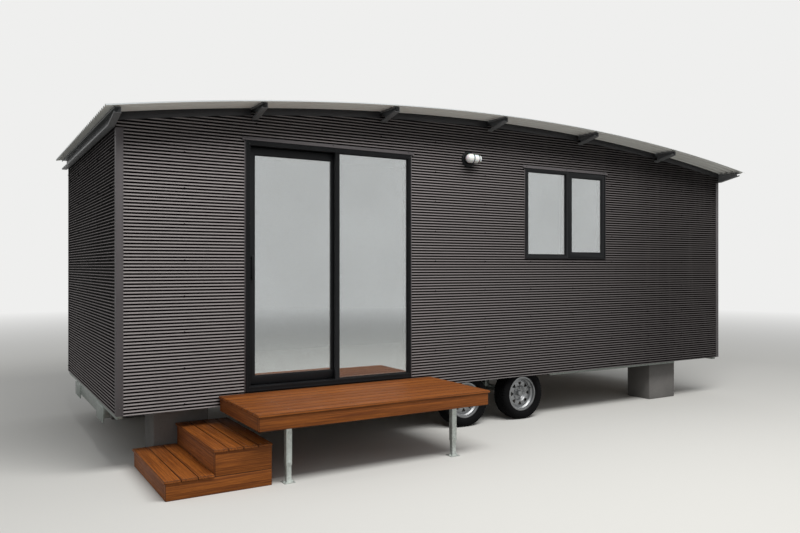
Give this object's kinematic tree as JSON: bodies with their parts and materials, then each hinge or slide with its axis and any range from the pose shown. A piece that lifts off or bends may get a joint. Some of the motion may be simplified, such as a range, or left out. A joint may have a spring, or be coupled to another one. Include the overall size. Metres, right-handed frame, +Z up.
{
  "type": "tiny house on a trailer",
  "caption": "Tiny house on a tandem trailer: corrugated metal walls, arched roof, sliding glass door, window, timber landing and steps.",
  "frame": {"origin": "on the ground, at the middle of the plan's bounding box", "axes": "+X along the house from the drawbar end to the window end, +Y from the door side to the back, +Z up"},
  "size_m": [7.44, 3.855, 3.079],
  "materials": {
    "galvanised_steel": "dull hot dipped zinc",
    "concrete": null,
    "floor_timber": "sealed plywood",
    "wall_lining": "painted lining board",
    "wall_cladding": "satin charcoal paint",
    "dark_trim": "satin near black paint",
    "roof_steel": "zinc and aluminium coated sheet",
    "black_aluminium": "satin powder coat",
    "glass": "clear double glazing",
    "lamp_dark": "satin paint",
    "lamp_white": "white glass and guard",
    "decking_timber": "oiled red hardwood",
    "rim_steel": "silver paint",
    "tyre": "black rubber"
  },
  "bodies": {
    "house": {"chassis_rails": "galvanised_steel", "chassis_crossmembers": "galvanised_steel", "axles": "galvanised_steel", "leaf_springs": "galvanised_steel", "piers": "concrete", "floor": "floor_timber", "floor_rim": "floor_timber", "front_wall_left": "wall_lining", "front_wall_over_door": "wall_lining", "front_wall_right": "wall_lining", "back_wall": "wall_lining", "left_end_wall": "wall_lining", "right_end_wall": "wall_lining", "front_cladding": "wall_cladding", "back_cladding": "wall_cladding", "end_cladding": "wall_cladding", "cladding_trims": "dark_trim", "roof_sheet": "roof_steel", "roof_purlins": "dark_trim", "eave_capping": "dark_trim", "ceiling": "wall_lining", "door_frame": "black_aluminium", "door_fixed_glass": "glass", "opening_flashings": "dark_trim", "window_frame": "black_aluminium", "window_sash": "black_aluminium", "window_glass": "glass", "lamp_base": "lamp_dark", "lamp_lens": "lamp_white", "step_box": "decking_timber", "step_treads": "decking_timber", "landing_frame": "decking_timber", "landing_decking": "decking_timber", "landing_legs": "galvanised_steel"},
    "sliding_sash": {"sash_frame": "black_aluminium", "sash_glass": "glass", "sash_handle": "black_aluminium"},
    "wheel_front_left": {"wheel_front_left_rim": "rim_steel", "wheel_front_left_tyre": "tyre"},
    "wheel_front_right": {"wheel_front_right_rim": "rim_steel", "wheel_front_right_tyre": "tyre"},
    "wheel_back_left": {"wheel_back_left_rim": "rim_steel", "wheel_back_left_tyre": "tyre"},
    "wheel_back_right": {"wheel_back_right_rim": "rim_steel", "wheel_back_right_tyre": "tyre"}
  },
  "joints": [
    {"name": "sash_slide", "type": "slide", "parent": "house", "child": "sliding_sash", "axis": [1, 0, 0], "range_m": [0, 0.71]},
    {"name": "wheel_front_left_spin", "type": "hinge", "parent": "house", "child": "wheel_front_left", "pos_m": [-0.275, -0.855, 0.2625], "axis": [0, 1, 0], "continuous": true},
    {"name": "wheel_front_right_spin", "type": "hinge", "parent": "house", "child": "wheel_front_right", "pos_m": [0.455, -0.855, 0.2625], "axis": [0, 1, 0], "continuous": true},
    {"name": "wheel_back_left_spin", "type": "hinge", "parent": "house", "child": "wheel_back_left", "pos_m": [-0.275, 1.73, 0.2625], "axis": [0, 1, 0], "continuous": true},
    {"name": "wheel_back_right_spin", "type": "hinge", "parent": "house", "child": "wheel_back_right", "pos_m": [0.455, 1.73, 0.2625], "axis": [0, 1, 0], "continuous": true}
  ]
}
